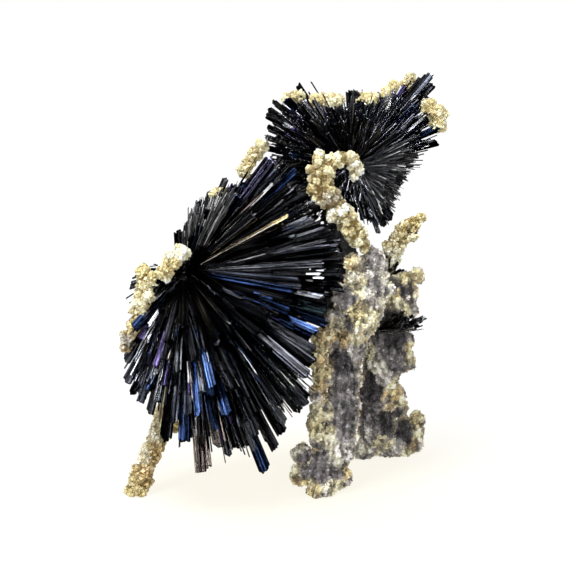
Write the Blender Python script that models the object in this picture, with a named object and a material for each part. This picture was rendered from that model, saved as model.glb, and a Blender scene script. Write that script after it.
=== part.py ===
"""A stibnite specimen with calcite, 90 mm tall.

Two sprays of stibnite blades radiate from two hearts. A matrix of felted needles joins them, and runs
down into two columns and a thin stalk on which the specimen stands. Calcite crusts the columns, makes
the crest and the fingers, and caps some of the blades' tips.

Sizes here are in millimetres. +X is to the right, +Y is away from the viewer and +Z is up.
The sprays face a viewer who looks down on them by FACE_TILT, so most places are given in that viewer's
picture plane: across and up it, with a depth behind the front foot.
"""

import math
import random
from collections import namedtuple

import bmesh
import bpy
from mathutils import Matrix, Vector

MM = 0.001
GAP = 0.3  # kept between two pieces that grew against each other
FACE_TILT = math.radians(15)
ACROSS = Vector((1, 0, 0))
UP = Vector((0, math.sin(FACE_TILT), math.cos(FACE_TILT)))
TOWARD = Vector((0, -math.cos(FACE_TILT), math.sin(FACE_TILT)))
MIDDLE = Vector((-0.02, 7.58, 0.0))  # the plan's middle, which the origin lies under

# Bearings are degrees round the picture plane from +X. Leans are degrees out of it towards the viewer.
# An outline is the spray's reach from its heart, in the picture plane, by bearing.
Spray = namedtuple("Spray", "name across rise depth outline core front back ridges blades fillers seed")
Blade = namedtuple("Blade", "root tip breadth thickness spin slant")
Lump = namedtuple("Lump", "centre radius")
Growth = namedtuple("Growth", "spine buds pits look")

STEEL = ((0.05, 0.055, 0.08), 0.25, 0.9)
FELT = ((0.32, 0.30, 0.30), 0.8, 0.0)
CREAM = ((0.82, 0.74, 0.48), 0.5, 0.0)

MAIN = Spray(
    name="stibnite_main_spray",
    across=-20.8,
    rise=47.9,
    depth=6.0,
    outline=(
        (-180, 9), (-165, 11), (-150, 12.4), (-140, 15), (-128, 20.5), (-118, 26), (-110, 29), (-100, 32),
        (-90, 36), (-84, 41), (-68, 44), (-58, 39), (-50, 37), (-37, 33), (-20, 31), (0, 30), (20, 30),
        (45, 30), (53, 29), (60, 22), (72, 18), (80, 15), (90, 9), (110, 5), (135, 4), (160, 5), (180, 9),
    ),
    core=0.66,
    front=7.4,
    back=7.4,
    ridges=15,
    # bearing, lean, reach, breadth
    blades=(
        (52, 15, 29.6, 3.4), (42, 12, 31.5, 2.0), (39, 22, 28.0, 2.0), (27, 30, 24.5, 1.6),
        (22.5, 10, 29.0, 2.5), (18, 14, 30.5, 2.7), (14.5, 6, 30.5, 1.8), (10, 10, 32.2, 2.1),
        (60, 6, 21.3, 2.0), (56, -6, 23.0, 2.0), (66, 14, 21.3, 1.8), (72, 4, 17.7, 2.2),
        (78, 12, 15.4, 2.2), (81, 0, 12.0, 2.2), (3, 20, 29.0, 2.3), (-2, 12, 30.0, 2.8),
        (-6, 26, 24.3, 2.8), (-10.5, 32, 23.0, 2.1), (-15.5, 14, 30.5, 2.7), (-20, 8, 31.6, 2.2),
        (-24.5, 14, 30.4, 2.1), (-37, 12, 33.0, 4.0), (-43, 2, 32.5, 2.4), (-48, 50, 14.4, 1.8),
        (-31, 20, 31.5, 2.4), (-64, 52, 16.5, 1.8), (-75.5, 34, 24.7, 2.0), (-84, 24, 30.0, 2.0),
        (-84.8, 5, 42.0, 4.4), (-78.5, 8, 37.5, 3.6), (-67.9, 5, 44.9, 3.0), (-63, 0, 41.7, 2.3),
        (-59, -6, 39.7, 2.8), (-51, -8, 38.0, 2.4), (-110.5, 20, 21.0, 1.8), (-107, 28, 20.5, 1.8),
        (-102, 16, 27.7, 2.0), (-109, 4, 29.0, 2.0), (-96.5, 6, 35.7, 3.0), (-90, 12, 35.3, 2.8),
        (-113.5, -12, 28.4, 2.8), (-54, 14, 34.0, 2.8), (-73, -6, 39.0, 2.8), (-118.5, -4, 26.4, 3.0),
        (-124, -6, 22.8, 2.8), (-129.5, -10, 20.2, 2.6), (-136, -10, 17.0, 2.4), (-143, -4, 14.4, 2.4),
        (-151, -14, 12.4, 2.2), (-166, -16, 12.2, 2.2), (-160, -8, 11.4, 2.2), (-104.5, -4, 30.8, 2.6),
        (-28, 4, 29.6, 2.8), (-48, 6, 37.6, 2.6), (32, 4, 31.0, 2.8), (36, -4, 29.0, 2.6),
        (27.5, -6, 32.0, 2.8), (47, 4, 29.0, 2.8), (-34, -6, 31.0, 2.8), (-40, 22, 33.5, 2.6),
        (-57, 4, 38.0, 2.6), (-66, 14, 37.0, 2.6), (-70.5, -8, 39.0, 2.6), (-46.5, -2, 37.0, 2.6),
    ),
    fillers=36,
    seed=11,
)
UPPER = Spray(
    name="stibnite_upper_spray",
    across=14.3,
    rise=70.4,
    depth=20.0,
    outline=(
        (-180, 16), (-160, 16), (-145, 15.5), (-120, 14), (-90, 11), (-72, 14), (-66, 15.5), (-55, 14),
        (-45, 11), (-20, 10.5), (0, 12), (12, 15), (20, 19), (30, 19), (44, 23), (51, 24), (57, 19),
        (70, 16), (87, 16), (103, 14), (117, 15), (124, 20), (141, 21), (155, 20), (168, 18), (180, 16),
    ),
    core=0.58,
    front=8.5,
    back=7.5,
    ridges=12,
    blades=(
        (124, 2, 21.0, 1.6), (141, 6, 21.9, 2.0), (146, -4, 21.8, 1.8), (150, 10, 21.2, 1.8),
        (155.5, 0, 20.1, 1.8), (162, 14, 19.5, 1.8), (168.5, 4, 18.7, 1.9), (135.5, 10, 20.0, 2.2),
        (130, -4, 19.3, 2.2), (120, 8, 16.6, 2.3), (113, 2, 14.8, 2.2), (108, 6, 14.6, 2.2),
        (103, 6, 14.5, 2.2), (96.5, 2, 15.4, 2.2), (92, -2, 16.2, 2.3), (89, 6, 15.6, 2.2),
        (80, 4, 14.4, 2.3), (69, 0, 16.8, 2.2), (62, 8, 17.5, 2.2), (57.5, 6, 20.2, 2.2),
        (74, 6, 14.4, 2.2), (-82, 4, 12.6, 1.9), (-90, 8, 11.4, 1.9), (-100, 2, 11.6, 1.9),
        (50.5, 10, 25.4, 2.5), (47.5, -2, 24.4, 2.2), (43.5, 2, 23.9, 2.2), (38, 16, 20.4, 1.8),
        (31, 2, 19.3, 2.0), (23.5, 10, 20.0, 2.0), (15.5, 0, 18.9, 1.8), (9, 14, 13.0, 1.8),
        (1, 6, 12.4, 1.8), (-8, 16, 11.2, 1.8), (-16, 4, 10.6, 1.8), (-24, 20, 10.6, 1.8),
        (-32, 6, 10.9, 1.8), (-40, 8, 11.6, 2.0), (-54, 10, 14.2, 2.2),
        (-62, 2, 14.6, 1.9), (-69, 6, 15.5, 1.9), (-76, 12, 13.4, 1.8), (176, 2, 16.4, 1.9),
        (-176, 8, 16.0, 2.0), (-168, 0, 16.0, 2.0), (-160, 6, 15.5, 2.0), (-151, 2, 15.5, 2.0),
        (-140, 4, 15.0, 2.2),
    ),
    fillers=14,
    seed=23,
)

# Rows of places along a piece's spine, and of the buds on it: across, rise, depth, radius.
TRUNK = Growth(
    spine=(
        (-19, 47.0, 15, 4.6), (-11, 45.0, 18, 6.2), (-2, 44.5, 19, 6.8), (7, 46, 18, 6.6),
        (11.6, 51, 18, 5.0), (10.8, 57, 20.5, 3.4), (12.0, 63, 23, 3.8),
    ),
    buds=(
        (-8, 42, 23, 3.0), (4, 42, 24, 3.0), (-2, 50, 25, 3.0), (9, 53, 23.4, 3.0),
        (16, 46.5, 18, 4.6), (16.6, 40.6, 17, 4.2), (9.0, 40.6, 14, 4.0),
    ),
    pits=(),
    look=FELT,
)
FRONT_COLUMN = Growth(
    spine=(
        (18.4, 51.6, 8, 2.4), (18.8, 48, 8, 2.9), (18.6, 43, 8, 3.2), (17.4, 39, 8, 3.4),
        (14.8, 35.4, 7, 3.7), (12.8, 31.0, 6.4, 3.8), (12.4, 25.5, 6.2, 3.8), (12.3, 20, 6, 3.8),
        (12.0, 15, 5.8, 3.9), (10.6, 10.6, 5.8, 4.3), (8.6, 6.8, 5.6, 4.7), (7.6, 4.2, 5.0, 4.7),
    ),
    buds=(
        (13.0, 42.2, 4.6, 3.6), (16.6, 42.8, 6.0, 2.6), (14.8, 37.2, 3.8, 2.9), (10.4, 37.6, 4.8, 2.7),
        (8.4, 33.6, 5.0, 3.0), (7.0, 29.8, 4.6, 2.5), (8.2, 26.2, 4.2, 2.9), (7.0, 22.4, 4.6, 2.3),
        (7.8, 18.8, 4.0, 2.8), (6.4, 15.6, 4.6, 2.2), (7.6, 12.4, 3.6, 2.8), (14.4, 49.8, 6.2, 2.1),
        (14.6, 46.4, 5.6, 2.3),
        (3.8, 9.2, 4.6, 2.5), (3.2, 4.7, 4.6, 2.5), (11.8, 4.4, 5.4, 2.7), (7.6, 1.9, 2.8, 3.5),
        (21.2, 44.0, 7.6, 1.8),
    ),
    pits=((11.6, 29.0, 1.9, 1.9), (12.4, 19.0, 1.5, 1.3)),
    look=FELT,
)
BACK_COLUMN = Growth(
    spine=(
        (25.4, 46.4, 15, 2.4), (25.0, 43.6, 15, 3.4), (22.8, 39.6, 15.5, 3.3), (21.6, 35.6, 17, 3.9),
        (21.6, 30.6, 18, 5.0), (20.3, 26.2, 19, 4.5), (19.4, 21.8, 21.8, 4.3), (19.8, 16.6, 25.2, 4.6),
        (20.4, 11.6, 28.4, 4.6), (24.0, 10.6, 29.6, 4.3), (27.8, 12.4, 30, 4.3),
    ),
    buds=(
        (25.1, 29.0, 17.0, 3.0), (25.0, 33.4, 16, 3.0), (23.8, 21.2, 22, 2.8), (24.6, 18.4, 24.0, 2.4),
        (17.6, 8.6, 28, 2.6), (28.0, 47.0, 15, 1.7), (22.6, 46.4, 14, 1.9), (26.6, 39.8, 14.6, 2.0),
        (29.2, 15.4, 29.6, 2.0), (20.2, 34.0, 22, 2.6), (18.0, 25.5, 23.4, 2.4),
    ),
    pits=((25.8, 44.2, 11.4, 1.5), (23.6, 36.6, 12.0, 1.2)),
    look=FELT,
)
CREST = Growth(
    spine=(
        (14.3, 67.8, 8.4, 0.9), (14.9, 69.4, 8.4, 1.3), (14.2, 71.0, 8.2, 1.4), (12.2, 71.7, 7.8, 1.4),
        (10.2, 71.0, 7.4, 1.8), (8.4, 69.6, 7, 2.5), (7.5, 67.0, 6.6, 2.8), (8.0, 64.4, 6.4, 2.7),
        (10.2, 61.8, 6.6, 2.4), (12.6, 59.2, 7, 2.4), (14.4, 56.4, 7.2, 2.3), (15.6, 54.4, 7.2, 1.9),
    ),
    buds=(
        (7.0, 71.2, 6.6, 1.5), (6.0, 68.8, 6, 1.5), (8.2, 68.2, 4.8, 1.6),
        (8.8, 64.8, 4.8, 1.6), (12.2, 61.6, 5.6, 1.4), (10.2, 59.6, 5.2, 1.4), (13.4, 56.2, 5.6, 1.4),
        (16.4, 53.4, 7.2, 1.5), (5.8, 64.8, 6.2, 1.4),
    ),
    pits=(),
    look=CREAM,
)
RIGHT_FINGER = Growth(
    spine=(
        (22.4, 49.4, 14, 1.5), (22.8, 51.8, 14, 1.7), (24.0, 54.6, 14, 2.1), (25.6, 56.8, 14, 2.1),
        (27.4, 58.6, 14, 1.3),
    ),
    buds=((21.8, 53.4, 13.4, 1.2), (26.6, 55.4, 13.2, 1.2), (28.6, 59.4, 14, 0.9)),
    pits=(),
    look=CREAM,
)
LEFT_STALK = Growth(
    spine=(
        (-13.6, 42.6, 17, 3.0), (-17.0, 36.5, 16.6, 2.8), (-20.5, 30.0, 16, 2.6), (-24.0, 23.0, 14, 2.4),
        (-25.6, 17.0, 10.5, 2.2),
        (-27.4, 11.4, 6.8, 2.2), (-29.6, 7.0, 4.6, 2.3), (-31.1, 3.2, 3.2, 2.4), (-31.8, 1.0, 2.4, 2.3),
    ),
    buds=(
        (-26.0, 14.0, 7.8, 1.5), (-28.0, 8.6, 4.8, 1.4), (-31.4, 6.0, 3.8, 1.3), (-29.6, 3.4, 3.0, 1.6),
        (-23.4, 15.2, 9.6, 1.6),
    ),
    pits=(),
    look=CREAM,
)
LEFT_FINGERS = Growth(
    spine=(
        (-29.3, 48.7, 2.0, 1.1), (-29.1, 46.6, 1.8, 1.3), (-29.5, 44.4, 1.2, 1.7), (-29.7, 41.6, 1.0, 1.7),
        (-29.8, 38.8, 1.0, 1.8), (-31.2, 36.2, 1.0, 1.7), (-32.3, 34.4, 1.0, 1.7), (-33.4, 32.0, 1.0, 1.1),
    ),
    buds=(
        (-27.4, 46.6, 1.0, 1.2), (-30.2, 47.6, 1.2, 0.9), (-31.2, 39.8, 0.6, 1.1), (-28.3, 42.4, -0.4, 1.2),
        (-33.2, 34.6, 0.6, 1.1),
    ),
    pits=(),
    look=CREAM,
)
# Tufts of calcite on blade tips: the spray, then the bearing, lean, reach and radius of each lump.
TUFTS = (
    ("calcite_tuft_far_left", UPPER, ((134, 4, 19.7, 1.3), (131, 2, 19.0, 1.4), (128, 2, 18.4, 1.3))),
    (
        "calcite_tuft_left",
        UPPER,
        ((119.5, 4, 16.0, 1.3), (114, 4, 15.3, 1.4), (108, 4, 14.7, 1.4), (102, 6, 14.1, 1.3)),
    ),
    ("calcite_tuft_top", UPPER, ((84.5, 2, 14.1, 1.3), (79, 2, 14.4, 1.4), (73.5, 4, 14.7, 1.3))),
    ("calcite_tuft_right", UPPER, ((65, 4, 17.3, 1.2), (62.5, 4, 18.9, 1.2))),
    ("calcite_tuft_peak", UPPER, ((56.5, -6, 22.6, 1.1), (57, -6, 20.8, 1.1))),
    ("calcite_tuft_far_right", UPPER, ((37.5, 6, 20.4, 1.7), (31.5, 6, 21.0, 2.1), (25.5, 6, 20.0, 1.7))),
    (
        "calcite_string",
        MAIN,
        ((59.2, -8, 30.8, 1.5), (59.8, -8, 29.0, 1.7), (60.0, -8, 26.8, 1.4), (60.2, -8, 24.6, 1.4)),
    ),
    ("calcite_bead", MAIN, ((68, 12, 17.4, 1.2), (66, 12, 18.6, 1.0))),
    ("calcite_heart_cap", MAIN, ((100, 60, 3.9, 1.7), (135, 66, 3.3, 1.9), (178, 62, 4.0, 1.7))),
)


def seen(across, rise, depth):
    """The place that shows at across and rise in the picture plane, at that depth."""
    return Vector((across, depth, (rise - depth * UP.y) / UP.z))


def ray(bearing, lean):
    """The unit direction with that bearing and lean, in degrees."""
    turn, tip = math.radians(bearing), math.radians(lean)
    flat = ACROSS * math.cos(turn) + UP * math.sin(turn)
    return flat * math.cos(tip) + TOWARD * math.sin(tip)


def heart_of(spray):
    return seen(spray.across, spray.rise, spray.depth)


def reach_at(spray, bearing):
    """How far the spray's outline is from its heart at a bearing, read between the outline's points."""
    bearing = (bearing + 180) % 360 - 180
    for (low, near), (high, far) in zip(spray.outline, spray.outline[1:]):
        if low <= bearing <= high:
            return near + (far - near) * (bearing - low) / (high - low)
    return spray.outline[0][1]


def core_radius(spray, bearing, lean):
    """How far out the blades have grown together, in a direction: round a lump at the heart, and
    further where the spray fans out."""
    reach, steep = reach_at(spray, bearing), math.sin(math.radians(abs(lean)))
    end = spray.front if lean > 0 else spray.back
    lump = (spray.core * reach + 1.0) * (1 - steep**0.7) + end * steep**0.7
    return max(lump, spray.core * reach * (1 - 0.75 * steep**1.7))


def core_mesh(spray, grow=0.0):
    """The inner part where blades have grown together: a body with ridges that radiate from the heart."""
    rng = random.Random(spray.seed)
    segments, leans = 2 * spray.ridges, (-54, -26, 2, 26, 52)
    heart, bm, rings = heart_of(spray), bmesh.new(), []
    for row, lean in enumerate(leans):
        ring = []
        for step in range(segments):
            bearing = -180 + 360 * step / segments
            ridge = 1.12 if step % 2 else 0.92
            radius = core_radius(spray, bearing, lean) * ridge * rng.uniform(0.93, 1.05) + grow
            ring.append(bm.verts.new((heart + ray(bearing, lean) * radius) * MM))
        rings.append(ring)
    rear = bm.verts.new((heart + ray(0, -90) * (spray.back + grow)) * MM)
    front = bm.verts.new((heart + ray(0, 90) * (spray.front + grow)) * MM)
    for step in range(segments):
        after = (step + 1) % segments
        for low, high in zip(rings, rings[1:]):
            bm.faces.new((low[step], low[after], high[after], high[step]))
        bm.faces.new((rear, rings[0][after], rings[0][step]))
        bm.faces.new((front, rings[-1][step], rings[-1][after]))
    return closed(bm)


def closed(bm):
    """The mesh in triangles, its faces turned outwards."""
    bmesh.ops.triangulate(bm, faces=bm.faces)
    bmesh.ops.recalc_face_normals(bm, faces=bm.faces)
    return bm


def distance_between(a, b, c, d):
    """The least distance between segments ab and cd."""
    u, v, w = b - a, d - c, a - c
    uu, uv, vv, uw, vw = u.dot(u), u.dot(v), v.dot(v), u.dot(w), v.dot(w)
    spread = uu * vv - uv * uv
    s = min(1.0, max(0.0, (uv * vw - vv * uw) / spread)) if spread > 1e-9 else 0.0
    t = min(1.0, max(0.0, (uv * s + vw) / vv))
    s = min(1.0, max(0.0, (uv * t - uw) / uu))
    return ((a + u * s) - (c + v * t)).length


def meets(blade, other):
    """Whether two blades would touch."""
    apart = distance_between(blade.root, blade.tip, other.root, other.tip)
    return apart < 0.45 * blade.breadth + 0.5 * other.breadth + GAP


def clear_length(root, way, length, half, lumps):
    """How long a blade can grow before it meets a lump."""
    for lump in lumps:
        offset = lump.centre - root
        along = offset.dot(way)
        aside = math.sqrt(max(0.0, offset.length_squared - along * along))
        clear = lump.radius + GAP
        edge = max(0.0, aside - half)
        if edge < clear and (along > 0 or offset.length < clear + half):
            length = min(length, along - math.sqrt(clear * clear - edge * edge))
    return length


def filler_rows(spray, rng):
    """Thinner blades between the listed ones, more of them where the spray reaches further."""
    rows = []
    for number in range(spray.fillers):
        bearing = -180 + 360 * ((number * 0.618034) % 1.0)
        lean = (-58, 34, -30, 52, -8, 66, -44, 22, 4, -18)[number % 10] + rng.uniform(-6, 6)
        reach = reach_at(spray, bearing) * rng.uniform(0.82, 1.0)
        shorten = math.cos(math.radians(lean)) * (1 - 0.4 * math.sin(math.radians(lean)) ** 2)
        breadth = rng.uniform(1.5, 2.5)
        if reach > rng.uniform(6, 26):
            rows.append((bearing, lean, reach * shorten, breadth))
    return rows


def blades_of(spray, lumps, others=()):
    """The spray's blades. One stops where it meets a lump, and isn't made where it would meet another's."""
    rng = random.Random(spray.seed)
    heart, found = heart_of(spray), []
    for bearing, lean, reach, breadth in list(spray.blades) + filler_rows(spray, rng):
        way, half = ray(bearing, lean), 0.45 * breadth
        core = core_radius(spray, bearing, lean)
        root = heart + way * (0.66 * core)
        length = reach / math.cos(math.radians(lean)) - 0.66 * core
        length = clear_length(root, way, length, half, lumps)
        thickness = breadth * rng.uniform(0.5, 0.75)
        spin, slant = rng.uniform(-0.6, 0.6), rng.uniform(-0.6, 0.6)
        blade = Blade(root, root + way * length, breadth, thickness, spin, slant)
        if length > 0.38 * core + 1.2 and blade.tip.z > 2.0 and not any(meets(blade, o) for o in others):
            found.append(blade)
    return found


def blade_mesh(blade):
    """One blade: a flattened prism that widens outwards. A broad one has six sides and a chisel edge,
    and a slender one has four sides and a low point."""
    axis = (blade.tip - blade.root).normalized()
    side = axis.cross(TOWARD).normalized()
    side.rotate(Matrix.Rotation(blade.spin, 3, axis))
    flat = axis.cross(side)
    b, t = blade.breadth / 2, blade.thickness / 2
    slender = blade.breadth < 2.45
    shoulder = blade.tip - axis * (0.3 if slender else 0.45) * blade.breadth
    outline = ((b, 0), (0, t), (-b, 0), (0, -t))
    if not slender:
        outline = ((b, 0), (0.5 * b, t), (-0.5 * b, t), (-b, 0), (-0.5 * b, -t), (0.5 * b, -t))
    bm = bmesh.new()
    base, top = [
        [bm.verts.new((middle + (side * x + flat * y) * share) * MM) for x, y in outline]
        for middle, share in ((blade.root, 0.6), (shoulder, 1.0))
    ]
    bm.faces.new(base[::-1])
    for step in range(len(outline)):
        after = (step + 1) % len(outline)
        bm.faces.new((base[step], base[after], top[after], top[step]))
    if slender:
        point = bm.verts.new((blade.tip + side * blade.slant * b * 0.6) * MM)
        for step in range(4):
            bm.faces.new((top[step], top[(step + 1) % 4], point))
    else:
        right = bm.verts.new((blade.tip + (side * 0.5 - axis * max(0.0, blade.slant)) * b) * MM)
        left = bm.verts.new((blade.tip - (side * 0.5 + axis * max(0.0, -blade.slant)) * b) * MM)
        for corners in (
            (top[0], top[1], right), (top[1], top[2], left, right), (top[2], top[3], left),
            (top[3], top[4], left), (top[4], top[5], right, left), (top[5], top[0], right),
        ):
            bm.faces.new(corners)
    return closed(bm)


def along_spine(rows):
    """Lumps at even steps along a spine."""
    lumps = [Lump(seen(*row[:3]), row[3]) for row in rows]
    found = [lumps[0]]
    for a, b in zip(lumps, lumps[1:]):
        steps = max(1, round((b.centre - a.centre).length / max(3.6, 0.9 * a.radius)))
        for step in range(1, steps + 1):
            share = step / steps
            found.append(Lump(a.centre.lerp(b.centre, share), a.radius + (b.radius - a.radius) * share))
    return found


def spine_mesh(lumps, rng, grow=0.0):
    """A knobbly tube along a spine, with a blunt point at each end."""
    segments, bm, rings = 7 if lumps[1].radius < 3 else 8, bmesh.new(), []
    side = Vector((0, -1, 0))
    for number, lump in enumerate(lumps):
        before, after = lumps[max(0, number - 1)], lumps[min(len(lumps) - 1, number + 1)]
        axis = (after.centre - before.centre).normalized()
        side = (side - axis * side.dot(axis)).normalized()
        flat = axis.cross(side)
        swell = 1.03 if number % 2 else 0.93
        ring = []
        for step in range(segments):
            turn = math.tau * (step + 0.5 * (number % 2)) / segments
            radius = lump.radius * swell * rng.uniform(0.82, 1.04) + grow
            out = side * math.cos(turn) + flat * math.sin(turn)
            ring.append(bm.verts.new((lump.centre + out * radius) * MM))
        rings.append(ring)
    for low, high in zip(rings, rings[1:]):
        for step in range(segments):
            after = (step + 1) % segments
            bm.faces.new((low[step], low[after], high[after], high[step]))
    for ring, inner, end in ((rings[0], lumps[1], lumps[0]), (rings[-1], lumps[-2], lumps[-1])):
        way = (end.centre - inner.centre).normalized()
        pole = bm.verts.new((end.centre + way * (0.75 * end.radius + grow)) * MM)
        for step in range(segments):
            bm.faces.new((ring[step], ring[(step + 1) % segments], pole))
    return closed(bm)


def lump_mesh(lump, rng, grow=0.0):
    """One bud, turned at random so that neighbours don't line up, and a little uneven."""
    axis = Vector((rng.random(), rng.random(), 1)).normalized()
    spin = Matrix.Rotation(rng.uniform(0, math.tau), 3, axis)
    bm = bmesh.new()
    bmesh.ops.create_icosphere(bm, subdivisions=2 if lump.radius > 4.3 else 1, radius=1)
    for vert in bm.verts:
        radius = lump.radius * rng.uniform(0.9, 1.05) + grow
        vert.co = (lump.centre + spin @ vert.co.normalized() * radius) * MM
    return bm


def made(name, parts):
    """One object from several meshes that may overlap."""
    data = bpy.data.meshes.new(name)
    whole = bmesh.new()
    for part in parts:
        part.to_mesh(data)
        whole.from_mesh(data)
        part.free()
    whole.to_mesh(data)
    whole.free()
    obj = bpy.data.objects.new(name, data)
    bpy.context.scene.collection.objects.link(obj)
    return obj


def combine(obj, other, operation):
    """Joins other to obj or cuts obj by it, and removes other."""
    boolean = obj.modifiers.new(operation.lower(), "BOOLEAN")
    boolean.operation = operation
    boolean.solver = "EXACT"
    boolean.use_self = True
    boolean.object = other
    graph = bpy.context.evaluated_depsgraph_get()
    result = bpy.data.meshes.new_from_object(obj.evaluated_get(graph))
    obj.modifiers.clear()
    obj.data = result
    bpy.data.objects.remove(other)


def fused(name, parts):
    """The parts grown together into one solid."""
    obj = made(name, parts[:1])
    if parts[1:]:
        combine(obj, made(name + "_rest", parts[1:]), "UNION")
    return obj


def only_largest(obj):
    """Drops chips that a cut has parted from the piece."""
    bm = bmesh.new()
    bm.from_mesh(obj.data)
    left, islands = set(bm.verts), []
    while left:
        island, edge = [], [left.pop()]
        while edge:
            vert = edge.pop()
            island.append(vert)
            near = {e.other_vert(vert) for e in vert.link_edges} & left
            left -= near
            edge.extend(near)
        islands.append(island)
    islands.sort(key=len)
    chips = [vert for island in islands[:-1] for vert in island]
    bmesh.ops.delete(bm, geom=chips, context="VERTS")
    bm.to_mesh(obj.data)
    bm.free()


def growth_lumps(growth):
    """Every lump that a growth takes up, for other pieces to stay clear of."""
    swollen = [Lump(lump.centre, lump.radius * 1.07) for lump in along_spine(growth.spine)]
    return swollen + [Lump(seen(*row[:3]), row[3] * 1.05) for row in growth.buds]


def growth_body(name, growth, grow=0.0):
    rng = random.Random(len(growth.buds))
    spine = spine_mesh(along_spine(growth.spine), rng, grow)
    buds = [lump_mesh(Lump(seen(*row[:3]), row[3]), rng, grow) for row in growth.buds]
    return fused(name, [spine] + buds)


def pit(obj, row):
    """A hollow in the crust."""
    combine(obj, made("pit", [lump_mesh(Lump(seen(*row[:3]), row[3]), random.Random(5))]), "DIFFERENCE")


def cut_off_at_floor(obj):
    """The flat that a foot stands on."""
    bm = bmesh.new()
    place = Matrix.Translation((0, 0.01, -0.01)) @ Matrix.Diagonal((0.2, 0.2, 0.02, 1))
    bmesh.ops.create_cube(bm, size=1, matrix=place)
    combine(obj, made("floor", [bm]), "DIFFERENCE")


def clear_of_cores(obj):
    """Cuts a piece back to where the sprays' inner parts begin."""
    for spray in (MAIN, UPPER):
        combine(obj, made("core", [core_mesh(spray, GAP)]), "DIFFERENCE")


def tuft_lumps(spray, rows):
    heart = heart_of(spray)
    return [
        Lump(heart + ray(bearing, lean) * (reach / math.cos(math.radians(lean))), radius)
        for bearing, lean, reach, radius in rows
    ]


def finish(obj, look):
    """The piece's material, and the shift that puts the origin under the specimen's middle."""
    only_largest(obj)
    colour, roughness, metallic = look
    material = bpy.data.materials.new(obj.name + "_finish")
    material.use_nodes = True
    shader = material.node_tree.nodes["Principled BSDF"]
    shader.inputs["Base Color"].default_value = (*colour, 1)
    shader.inputs["Roughness"].default_value = roughness
    shader.inputs["Metallic"].default_value = metallic
    obj.data.materials.clear()
    obj.data.materials.append(material)
    obj.data.transform(Matrix.Translation(-MIDDLE * MM))


def clear_scene():
    for obj in list(bpy.data.objects):
        bpy.data.objects.remove(obj)


def make_growth(name, growth, grown_first=(), stands=False):
    """A piece of matrix or calcite, cut back by the pieces that were there first."""
    obj = growth_body(name, growth)
    for other in grown_first:
        combine(obj, growth_body("earlier", other, GAP), "DIFFERENCE")
    clear_of_cores(obj)
    for row in growth.pits:
        pit(obj, row)
    if stands:
        cut_off_at_floor(obj)
    finish(obj, growth.look)


def make_tuft(name, lumps, seed):
    rng = random.Random(seed)
    obj = fused(name, [lump_mesh(lump, rng) for lump in lumps])
    if name == "calcite_heart_cap":
        clear_of_cores(obj)
    finish(obj, CREAM)


def make_spray(spray, blades):
    obj = fused(spray.name, [core_mesh(spray)] + [blade_mesh(blade) for blade in blades])
    finish(obj, STEEL)


def main():
    clear_scene()
    make_growth("matrix_trunk", TRUNK)
    make_growth("matrix_front_column", FRONT_COLUMN, [TRUNK], stands=True)
    make_growth("matrix_back_column", BACK_COLUMN, [TRUNK, FRONT_COLUMN], stands=True)
    make_growth("calcite_crest", CREST, [FRONT_COLUMN, TRUNK])
    make_growth("calcite_right_finger", RIGHT_FINGER, [BACK_COLUMN, TRUNK])
    make_growth("calcite_left_stalk", LEFT_STALK, [TRUNK], stands=True)
    make_growth("calcite_left_fingers", LEFT_FINGERS)

    lumps = []
    for growth in (TRUNK, FRONT_COLUMN, BACK_COLUMN, CREST, RIGHT_FINGER, LEFT_STALK, LEFT_FINGERS):
        lumps += growth_lumps(growth)
    for seed, (name, spray, rows) in enumerate(TUFTS):
        tuft = tuft_lumps(spray, rows)
        make_tuft(name, tuft, seed)
        lumps += [Lump(lump.centre, lump.radius * 1.03) for lump in tuft]

    main_blades = blades_of(MAIN, lumps + [Lump(heart_of(UPPER), 12.0)])
    make_spray(MAIN, main_blades)
    make_spray(UPPER, blades_of(UPPER, lumps, main_blades))


main()
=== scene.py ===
import math
import random

import bpy
import numpy as np
from mathutils import Matrix, Vector
from mathutils.bvhtree import BVHTree


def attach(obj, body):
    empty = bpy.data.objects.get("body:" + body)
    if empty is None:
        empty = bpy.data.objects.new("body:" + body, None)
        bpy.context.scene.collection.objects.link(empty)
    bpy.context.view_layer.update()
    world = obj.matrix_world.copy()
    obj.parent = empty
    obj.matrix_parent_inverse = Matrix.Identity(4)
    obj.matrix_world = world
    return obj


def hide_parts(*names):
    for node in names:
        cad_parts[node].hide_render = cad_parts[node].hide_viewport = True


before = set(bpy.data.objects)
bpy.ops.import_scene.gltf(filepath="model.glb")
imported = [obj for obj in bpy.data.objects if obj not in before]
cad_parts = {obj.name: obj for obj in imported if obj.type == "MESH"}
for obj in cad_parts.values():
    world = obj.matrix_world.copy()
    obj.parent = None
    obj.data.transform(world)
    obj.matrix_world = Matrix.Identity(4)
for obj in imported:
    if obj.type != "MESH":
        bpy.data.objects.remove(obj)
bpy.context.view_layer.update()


# The main spray: some hundreds of stibnite blades, antimony sulphide that grew outwards from one point in
# an open pocket. Each broad blade is a bundle of parallel prisms, grooved lengthwise, with a blunt end.
# It is near-black and shines like metal, with steel, blue and violet reflections.

MM = 0.001
# the viewer looks down by TILT: UP is upwards in the picture plane and TOWARD points at the viewer
TILT = math.radians(15)
UP = Vector((0, math.sin(TILT), math.cos(TILT)))
TOWARD = Vector((0, -math.cos(TILT), math.sin(TILT)))
# the point, in the specimen's own millimetres, that the frame puts at its origin
MIDDLE = Vector((-0.02, 7.58, 0.0))

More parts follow.
